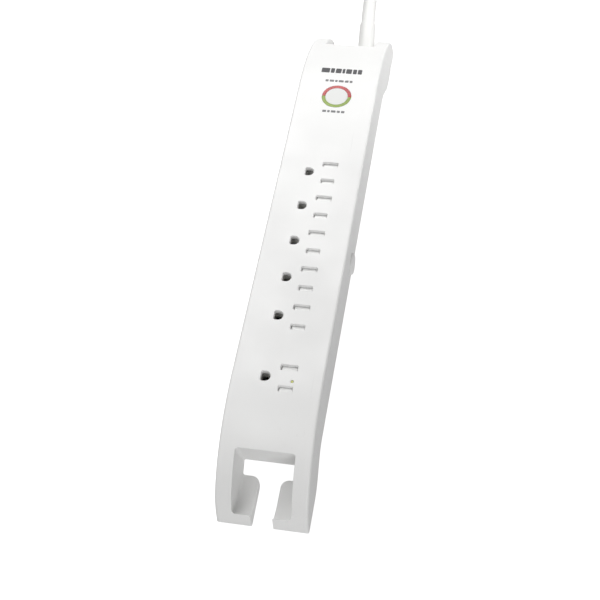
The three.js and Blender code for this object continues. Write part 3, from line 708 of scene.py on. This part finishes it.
make_finish("shell", (238, 238, 237), 0.34, 0.46, second=0.988)
make_finish("shutter", (244, 244, 243), 0.4, 0.5, second=0.98)
make_finish("tray", (222, 222, 218), 0.5, 0.62)
make_finish("lens_red", (176, 16, 22), 0.2, 0.3, 900.0, 0.006, 0.93, cloud=160.0, Coat_Weight=0.2)
make_finish("lens_green", (126, 152, 30), 0.2, 0.3, 900.0, 0.006, 0.93, cloud=160.0, Coat_Weight=0.2)
# The centre disc is the shell's white plastic; this darker copy of that white is painted shade.
make_finish("disc_painted_shade", (221, 222, 220), 0.3, 0.42, second=0.985)
make_finish("lamp", (216, 219, 128), 0.1, 0.18, 900.0, 0.004, 0.95, cloud=300.0, Coat_Weight=0.6)
make_finish("rubber", (138, 138, 135), 0.72, 0.88, 2600.0, 0.03, 0.9)
make_finish("cord_jacket", (236, 236, 234), 0.42, 0.56, 2200.0, 0.015, 0.975, Sheen_Weight=0.08)
make_finish("black_plastic", (44, 44, 46), 0.45, 0.62, 1500.0, 0.03, 0.85)
make_finish("board", (44, 98, 56), 0.35, 0.5, 700.0, 0.02, 0.88)
make_finish("varistor", (40, 74, 150), 0.25, 0.4, 500.0, 0.04, 0.88, Coat_Weight=0.4)
make_finish("capacitor", (214, 178, 62), 0.3, 0.42, 800.0, 0.02, 0.92)
make_finish("steel", (190, 192, 196), 0.26, 0.42, 1200.0, 0.006, 0.92, Metallic=1.0)
make_finish("nickel", (212, 211, 206), 0.18, 0.34, 1400.0, 0.005, 0.93, Metallic=1.0)
make_finish("brass", (204, 166, 88), 0.28, 0.44, 1200.0, 0.008, 0.9, Metallic=1.0)
make_finish("wire_black", (34, 34, 35), 0.4, 0.55, 1600.0, 0.01, 0.85)
make_finish("wire_white", (230, 230, 228), 0.4, 0.55, 1600.0, 0.01, 0.95)
make_finish("wire_green", (48, 124, 70), 0.4, 0.55, 1600.0, 0.01, 0.9)
make_finish("print_dark", (96, 96, 98), 0.4, 0.52, 3000.0, 0.004, 0.9)
make_finish("print_light", (128, 128, 130), 0.4, 0.52, 3000.0, 0.004, 0.9)
print(len(looks), "finishes")


# %% Dressing a piece
def dress(piece, look, body="strip", replaced=()):
    """Gives a finished piece its look and the body that carries it, and hides the solids that it stands for.
    """
    piece.data.materials.clear()
    piece.data.materials.append(looks[look])
    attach(piece, body)
    if replaced:
        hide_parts(*replaced)
    return piece


dress(housing, "shell", replaced=["upper_housing"])
print("housing dressed")

# %% [markdown]
# ## The status ring
#
# Round a white centre disc lie two half rings of clear tinted plastic, red on the cord's side and green on
# the other, and each glows when its lamp below is lit. Each is a rounded rectangle carried half way round the
# centre, let in flush with a hair's gap, as such lenses are when they are moulded in one shot with the face.

# %% Ring
def half_ring(name, sense):
    """The section's point (r, z) at angle a stands at (r cos a, r sin a, z) from the ring's centre, for a
    from just over 0 to just under a half turn."""
    section = rectangle(RING_INNER, RING_OUTER, 42.0, FACE + 0.02, 0.12, 4)
    first = 0 if sense > 0 else np.pi
    angle = first + np.linspace(0.005, np.pi - 0.005, 61)[:, None]
    r, z = section.T
    x = RING_X + r * np.cos(angle)
    y = RING_Y + r * np.sin(angle)
    grid = np.stack([x, y, np.broadcast_to(z, x.shape)], axis=-1)
    return mesh_piece(name, grid.reshape(-1, 3), grid_faces(*grid.shape[:2]))


for name, sense in (("lens_red", 1), ("lens_green", -1)):
    dress(shade(half_ring("ring_" + name, sense)), name, replaced=["ring_" + name])
disc_r = RING_INNER - 0.04
edge = arc((disc_r - 0.12, FACE - 0.12), 0.12, 0, 90, 5)
disc_profile = np.vstack([[[0, 41], [disc_r, 41]], edge, [[0, FACE]]])
disc = turned("ring_disc", disc_profile, (RING_X, RING_Y, 0), sides=96)
# The disc wears a darker copy of the shell's white: painted shade.
dress(shade(disc), "disc_painted_shade", replaced=["ring_centre_disc"])
dome = arc((0, 45.3), LAMP_RADIUS, 0, 90, 6)
lamp_profile = np.vstack([[[0, 44.35], [LAMP_RADIUS, 44.35]], dome])
lamp_dome = turned("lamp_dome", lamp_profile, (LAMP_X, LAMP_Y, 0), sides=24)
dress(shade(lamp_dome), "lamp", replaced=["outlet_lamp"])
print("ring and lamp done")

# %% [markdown]
# ## The reset button
#
# A pressed-in cap in the side wall, with a soft rim and a slightly domed face. It is one profile turned about
# its own axis, and it rides on the button's body, so it goes in when that joint moves.

# %% Button
crown = np.linspace(0, 1, 9)[::-1]
rim_arc = arc((4.75, 24.9), 1.5, 0, 78, 8)
face = np.column_stack([crown * rim_arc[-1, 0], rim_arc[-1, 1] + 0.32 * (1 - crown**2)])[1:]
button_profile = np.vstack([[[0, 19], [7.2, 19], [7.2, 20], [6.25, 20]], rim_arc, face])
button = turned("reset_cap", button_profile, (0, BUTTON_Y, BUTTON_Z), axis="x", sides=96)
dress(shade(button, 35), "shell", body="button", replaced=["reset_button"])
print("button stands out to x =", round(float(button_profile[:, 1].max()), 2), "mm")

# %% [markdown]
# ## Printed marks
#
# The face carries a few printed marks round the ring. Here they are plain shapes that mean nothing: a row of
# bars, and two short rows of dashes. Each is a thin slab of ink laid on the face, so its points take
# their heights from the same formula as the face.

# %% Marks
def ink(name, outlines, look):
    """Thin slabs whose lower rim sinks in the face and whose upper rim stands 0.05 mm over it."""
    grids = []
    for points in outlines:
        grid = slab_grid(points, 0.0, 1.0)
        grid[..., 2] = face_height(grid[..., 1]) - 0.3 + 0.36 * grid[..., 2]
        grids.append(grid)
    return dress(many(name, grids), look)


def row(centre_x, centre_y, widths, height, gap, radius):
    """Rounded bars side by side along X, centred on a point."""
    widths = np.asarray(widths, float)
    starts = np.concatenate([[0], np.cumsum(widths + gap)[:-1]])
    starts += centre_x - (starts[-1] + widths[-1]) / 2
    low, high = centre_y - height / 2, centre_y + height / 2
    rounds = np.minimum(radius, np.minimum(widths, height) / 2.01)
    return [rectangle(a, a + w, low, high, r) for a, w, r in zip(starts, widths, rounds)]


main_marks = row(0.5, 113.4, [5.2, 2.4, 3.6, 1.6, 3.6, 2.4, 2.6], 4.4, 0.7, 0.5)
ink("ink_main", main_marks, "print_dark")
ink("ink_upper", row(0.1, 104.0, [1.9, 2.7, 1.5, 3.1, 2.3, 1.7], 1.7, 0.75, 0.3), "print_light")
ink("ink_lower", row(0.5, 78.4, [2.3, 1.5, 2.9, 1.9, 2.1], 1.7, 0.75, 0.3), "print_light")
print(len(main_marks), "shapes in the main mark")

# %% [markdown]
# ## Feet
#
# Four soft pads let into the sole keep the strip from sliding. Only their lower rims show, so each is an
# outline with round ends and a soft lower rim.

# %% Pads
for end_name, y in PAD_YS.items():
    for hand, side in (("right", 1), ("left", -1)):
        pad = rectangle(side * PAD_X - 2.8, side * PAD_X + 2.8, y - 7, y + 7, 2.6, 8)
        name = f"foot_pad_{end_name}_{hand}"
        dress(shade(slab("soft_" + name, pad, 0.0, 1.7, 0.5, 0.0)), "rubber", replaced=[name])
print("four pads done")

# %% [markdown]
# ## The cord's boot
#
# Where the cord leaves the wall, a soft boot keeps it from being bent sharply. It tapers towards its tip and
# leans a little, and its rims are rounded. It is one turned profile, leaned after it is made.

# %% Boot
CORD = 9.0
EXIT = np.array([9.9, 147.8, 24.5])
LEAN = 0.085


def lean(points, centre=EXIT, turn=LEAN):
    """Turns points about the exit's vertical line: x' = x cos a - y sin a, y' = x sin a + y cos a."""
    moved = points - centre
    x, y = moved[..., 0].copy(), moved[..., 1].copy()
    moved[..., 0], moved[..., 1] = x * np.cos(turn) - y * np.sin(turn), x * np.sin(turn) + y * np.cos(turn)
    return moved + centre


along = np.linspace(2.2, 28.9, 12)
boot_profile = np.vstack(
    [
        [[0, -7], [6, -7], [6, -3.2], [4.55, -3.2], [4.55, 0.15]],
        arc((4.95, 0.65), 0.5, -90, 0, 5),
        np.column_stack([5.45 - 0.25 * ((along - 2.2) / 26.7) ** 0.9, along]),
        arc((4.8, 29.4), 0.4, 10, 90, 5),
        [[4.52, 29.6], [4.52, 24], [0, 24]],
    ]
)
boot_grid = lean(turned_grid(boot_profile, EXIT, axis="y", sides=64))
boot = mesh_piece("cord_boot", boot_grid.reshape(-1, 3), grid_faces(*boot_grid.shape[:2]))
dress(shade(boot), "cord_jacket", replaced=["strain_relief"])
print("boot from y =", boot_grid[..., 1].min().round(1), "to", boot_grid[..., 1].max().round(1), "mm")

# %% [markdown]
# ## The cord and its hank
#
# Only a short stretch of the cord is in use. The rest of its four feet is folded into a flat hank in line
# with the strip, tied at its waist, as it comes out of the box. A real hank is one cord that goes to and
# fro: three passes lie on each other on the +X side, the way back slopes down between them on the -X side,
# and round loops join them at both ends. The route is built from straight lines and arcs, each as its own
# array of points, so that no bend is tighter than three diameters at a fold.

# %% Route
MIDDLE = 336.0
COLUMN = 4.55
STRAIGHT, BEND, PHI = 8.35, 40.0, math.radians(44.3)
FOLD = COLUMN + 2 * BEND * (1 - math.cos(PHI))


def lobe_side(spacing=5.0):
    """From the waist to the start of a fold on the +X side: a straight, a bend outwards and a bend back.
    Going away from the waist, x = column + r (1 - cos a) on the first arc, and the second mirrors it."""
    arc_length = BEND * PHI
    s = np.arange(0, STRAIGHT + 2 * arc_length, spacing)
    a = np.clip((s - STRAIGHT) / BEND, 0, PHI)
    b = np.clip((s - STRAIGHT - arc_length) / BEND, 0, PHI)
    x = COLUMN + BEND * (1 - np.cos(a)) + BEND * (np.cos(PHI - b) - np.cos(PHI))
    y = np.minimum(s, STRAIGHT) + BEND * np.sin(a) + BEND * (np.sin(PHI) - np.sin(PHI - b))
    return np.column_stack([x, y])


SIDE_RUN = lobe_side()
FOLD_Y = STRAIGHT + 2 * BEND * math.sin(PHI)
fold_angle = np.linspace(0, np.pi, 19)
FOLD_ARC = np.column_stack([FOLD * np.cos(fold_angle), FOLD_Y + FOLD * np.sin(fold_angle)])
LOBE = np.vstack([SIDE_RUN, FOLD_ARC, (SIDE_RUN * [-1, 1])[::-1]])


def travelled(points):
    """Length along a line of points up to each one."""
    return np.concatenate([[0], np.cumsum(np.linalg.norm(np.diff(points, axis=0), axis=1))])


def ease(share):
    """A smooth step from 0 to 1 with level ends."""
    share = np.clip(share, 0, 1)
    return share * share * (3 - 2 * share)


def lobe(start_height, end_height):
    """The far end, from waist to waist: level out to the fold and round it, then down to the waist."""
    share = travelled(LOBE) / travelled(LOBE)[-1]
    height = start_height + (end_height - start_height) * ease((share - 0.62) / 0.38)
    return np.column_stack([LOBE[:, 0], LOBE[:, 1] + MIDDLE, height])[:-1]


def climb(start_height, end_height):
    """The near end, from waist to waist: down to its level before the fold, then level."""
    flat = LOBE * [-1, -1]
    share = travelled(flat) / travelled(flat)[-1]
    height = start_height + (end_height - start_height) * ease(share / 0.38)
    return np.column_stack([flat[:, 0], flat[:, 1] + MIDDLE, height])[:-1]


t = np.linspace(0, 1, 16)[:, None]
tip = lean(EXIT + [[0, 30.0, 0]])[0]
inside = lean(EXIT + np.linspace(2, 26, 6)[:, None] * [0, 1, 0])
top = np.array([COLUMN, 246.0, 22.75])
reach_out = 26.0
lead = (
    (1 - t) ** 3 * tip
    + 3 * (1 - t) ** 2 * t * (tip + reach_out * np.array([-np.sin(LEAN), np.cos(LEAN), -0.02]))
    + 3 * (1 - t) * t**2 * (top - [0, reach_out, 0])
    + t**3 * top
)
first_pass = np.column_stack([np.full(18, COLUMN), np.linspace(251, MIDDLE - 5, 18), np.full(18, 22.75)])
last_y = np.linspace(MIDDLE, 447.0, 23)
last_pass = np.column_stack([np.full(23, COLUMN), last_y, 4.55 + 1.35 * ease((last_y - 420) / 26)])
route = np.vstack(
    [
        inside,
        lead,
        first_pass,
        lobe(22.75, 18.2),
        climb(18.2, 13.65),
        lobe(13.65, 9.1),
        climb(9.1, 4.55),
        last_pass,
    ]
)
near_tie = np.abs(route[:, 1] - MIDDLE) < 30
route[:, 2] += np.where(near_tie, 1.1 * np.cos((route[:, 1] - MIDDLE) * np.pi / 60) ** 2, 0)


# %% Tube
def tube(name, path, radius, sides=16):
    """A circle carried along a path: at each point, across = travel x up, over = across x travel, and the
    circle's point at angle a is r (cos a across + sin a over)."""
    travel = np.gradient(path, axis=0)
    travel /= np.linalg.norm(travel, axis=1, keepdims=True)
    across = np.cross(travel, [0, 0, 1.0])
    across /= np.linalg.norm(across, axis=1, keepdims=True)
    over = np.cross(across, travel)
    angle = np.linspace(0, 2 * np.pi, sides, endpoint=False)[None, :, None]
    grid = path[:, None] + radius * (np.cos(angle) * across[:, None] + np.sin(angle) * over[:, None])
    return mesh_piece(name, grid.reshape(-1, 3), grid_faces(*grid.shape[:2]))


cord = tube("cord", route, CORD / 2)
dress(shade(cord), "cord_jacket", replaced=["cord_lead", "cord_hank", "cord_tail"])
print("cord", len(cord.data.polygons), "faces")

# %% [markdown]
# ## The tie
#
# A black band holds the hank at its waist. It is a thin strip round both columns of cord: the same round
# outline twice, outside and inside, joined at both edges, which is a ring section carried round the bundle.

# %% Tie
def band(name, outline, thickness, low, high):
    """A strip that follows a closed (x, z) outline: its section is a thin rounded rectangle across Y."""
    section = rectangle(0.0, thickness, low, high, 0.3, 4)
    rings = np.stack([inset(outline, -depth) for depth in section[:, 0]], axis=1)
    y = np.broadcast_to(section[:, 1], rings.shape[:2])
    grid = np.stack([rings[..., 0], y, rings[..., 1]], axis=-1)
    rows, columns = grid.shape[:2]
    index = np.arange(rows * columns).reshape(rows, columns)
    after, around = np.roll(index, -1, axis=0), np.roll(index, -1, axis=1)
    both = np.roll(after, -1, axis=1)
    quads = np.stack([index, around, both, after], axis=-1).reshape(-1, 4)
    return mesh_piece(name, grid.reshape(-1, 3), quads.tolist())


bundle = rectangle(-COLUMN - 4.62, COLUMN + 4.62, 1.02, 28.4, 4.6, 9)
tie = band("tie_band", bundle, 0.9, MIDDLE - 4, MIDDLE + 4)
dress(shade(tie), "black_plastic", replaced=["hank_tie"])
print("tie round", np.ptp(bundle, axis=0).round(1), "mm")

# %% [markdown]
# ## The plug
#
# A flat moulded plug lies beside the hank with its pins up. Its body is one outline with generous round rims,
# its neck is a turned cone with grip rings, and the two blades and the ground pin are bright nickel.

# %% Plug body
PLUG_X, PLUG_Y, PLUG_LONG, PLUG_HALF, PLUG_HIGH = 4.5, 459.0, 36.0, 17.0, 15.0


def curve(start, pull, stop, count=8):
    """A quadratic Bezier curve: (1 - t)^2 start + 2 (1 - t) t pull + t^2 stop."""
    t = np.linspace(0, 1, count)[:, None]
    return (1 - t) ** 2 * np.array(start) + 2 * (1 - t) * t * np.array(pull) + t**2 * np.array(stop)


w, front = PLUG_HALF, PLUG_LONG
half_outline = np.vstack(
    [curve((9, 0), (w, 3), (w, 15)), curve((w, front - 8), (w, front), (w - 8, front))]
)
plug_outline = np.vstack([half_outline, (half_outline * [-1, 1])[::-1]]) + [PLUG_X, PLUG_Y]
ring_y = np.linspace(0, 15.5, 63)
grip = 5.2 + 0.55 * ring_y / 15.5 + 0.28 * np.cos(2 * np.pi * ring_y / 3.1)
neck_profile = np.vstack([[[0, 0]], np.column_stack([grip, ring_y]), [[5.4, 19], [0, 19]]])
plug = many(
    "plug_moulding",
    [
        slab_grid(plug_outline, 0.0, PLUG_HIGH, 3.2, 3.2, steps=6),
        turned_grid(neck_profile, (PLUG_X, 443.6, 5.95), axis="y", sides=40),
    ],
)
dress(shade(plug), "cord_jacket", replaced=["plug_body"])

# %% Pins
pin_foot, blade_y = PLUG_HIGH - 0.2, PLUG_Y + 11
for label, side, width in (("line", 1, 6.35), ("neutral", -1, 7.9)):
    x = PLUG_X + side * 6.35
    outline_yz = rectangle(blade_y - width / 2, blade_y + width / 2, pin_foot, PLUG_HIGH + 17.3, 0.9, 5)
    blade = slab(f"blade_{label}", outline_yz, x - 0.75, x + 0.75, 0.3, 0.3, steps=3, axis="x")
    eye = turned("eye", [[0, -3], [1.5, -3], [1.5, 3], [0, 3]], (x, blade_y, 27.8), axis="x", sides=32)
    carve(blade, [eye])
    dress(shade(blade, 35), "nickel", replaced=[f"plug_{label}_blade"])
pin_tip = arc((0, 33.5), 2.4, 0, 90, 9)
pin_profile = np.vstack([[[0, pin_foot], [2.4, pin_foot]], pin_tip])
pin = turned("ground_pin", pin_profile, (PLUG_X, blade_y + 11.9, 0), sides=40)
dress(shade(pin), "nickel", replaced=["plug_ground_pin"])

# %% [markdown]
# ## The pieces that stay as the solids are
#
# The shutters, the cover, the screws and everything inside already have the right shape. Each gets a cleaner
# skin: a copy of the solid with its doubles merged, its flat faces joined, and its edges rounded a little.

# %% Finer copies
def refine(node_name, look, width=0.15, segments=2):
    """A copy of a solid with merged points, flat faces and rounded edges, on the same body."""
    source = nodes[node_name]
    mesh = source.data.copy()
    mesh.name = "fine_" + node_name
    work = bmesh.new()
    work.from_mesh(mesh)
    bmesh.ops.remove_doubles(work, verts=work.verts, dist=1e-6)
    bmesh.ops.dissolve_limit(work, angle_limit=math.radians(1), verts=work.verts, edges=work.edges)
    work.to_mesh(mesh)
    work.free()
    piece = bpy.data.objects.new("fine_" + node_name, mesh)
    bpy.context.scene.collection.objects.link(piece)
    if width:
        rims = piece.modifiers.new("rims", "BEVEL")
        rims.limit_method, rims.angle_limit = "ANGLE", math.radians(35)
        rims.width, rims.segments = width * MM, segments
    return dress(shade(piece), look, body=body_of(source)[0], replaced=[node_name])


kinds = {
    "shutter_spring": ("steel", 0),
    "shutter_tray": ("tray", 0.12),
    "shutter_": ("shutter", 0.18),
    "bottom_cover": ("shell", 0.3),
    "cover_screw": ("steel", 0.12),
    "hot_bus_bar": ("brass", 0.08),
    "neutral_bus_bar": ("brass", 0.08),
    "ground_bus_bar": ("brass", 0.08),
    "circuit_board": ("board", 0.1),
    "protected_led": ("lens_red", 0.1),
    "grounded_led": ("lens_green", 0.1),
    "surge_varistor": ("varistor", 0.25),
    "filter_capacitor": ("capacitor", 0.4),
    "thermal_fuse": ("nickel", 0.3),
    "breaker_body": ("black_plastic", 0.3),
    "reset_spring": ("steel", 0),
    "hot_wire": ("wire_black", 0),
    "breaker_wire": ("wire_black", 0),
    "neutral_wire": ("wire_white", 0),
    "ground_wire": ("wire_green", 0),
}
done = set()
for node_name in sorted(nodes):
    match = [kind for kind in kinds if node_name.startswith(kind)]
    if match and not nodes[node_name].hide_render:
        refine(node_name, *kinds[max(match, key=len)])
        done.add(node_name)
print(len(done), "solids refined")

# %% [markdown]
# ## The floor
#
# The strip stands on a pale light table: a smooth white sheet lit from below, which stays white under the
# strip and through its openings. What the table throws back on the strip is weaker than what the eye sees of
# it, so the side walls keep their shade.

# %% Floor
floor_mesh = bpy.data.meshes.new("floor")
far = 6.0
corners = [(-far, -far, 0), (far, -far, 0), (far, far, 0), (-far, far, 0)]
floor_mesh.from_pydata(corners, [], [(0, 1, 2, 3)])
floor = bpy.data.objects.new("floor", floor_mesh)
bpy.context.scene.collection.objects.link(floor)
floor_look = bpy.data.materials.new("light_table")
floor_look.use_nodes = True
sheets = {"bright": (0.3, 0.93), "dim": (0.3, 0.4)}
for sheet, (pale, glow) in sheets.items():
    shader = floor_look.node_tree.nodes.new("ShaderNodeBsdfPrincipled")
    shader.inputs["Base Color"].default_value = (pale, pale, pale, 1)
    shader.inputs["Roughness"].default_value = 0.14
    shader.inputs["Emission Color"].default_value = (1, 1, 1, 1)
    shader.inputs["Emission Strength"].default_value = glow
    sheets[sheet] = shader.outputs["BSDF"]
seen = floor_look.node_tree.nodes.new("ShaderNodeLightPath").outputs["Is Camera Ray"]
choice = add(floor_look.node_tree, "MixShader", {0: seen, 1: sheets["dim"], 2: sheets["bright"]})
output = floor_look.node_tree.nodes["Material Output"]
floor_look.node_tree.links.new(choice.outputs[0], output.inputs["Surface"])
floor_mesh.materials.append(floor_look)
print("floor laid")
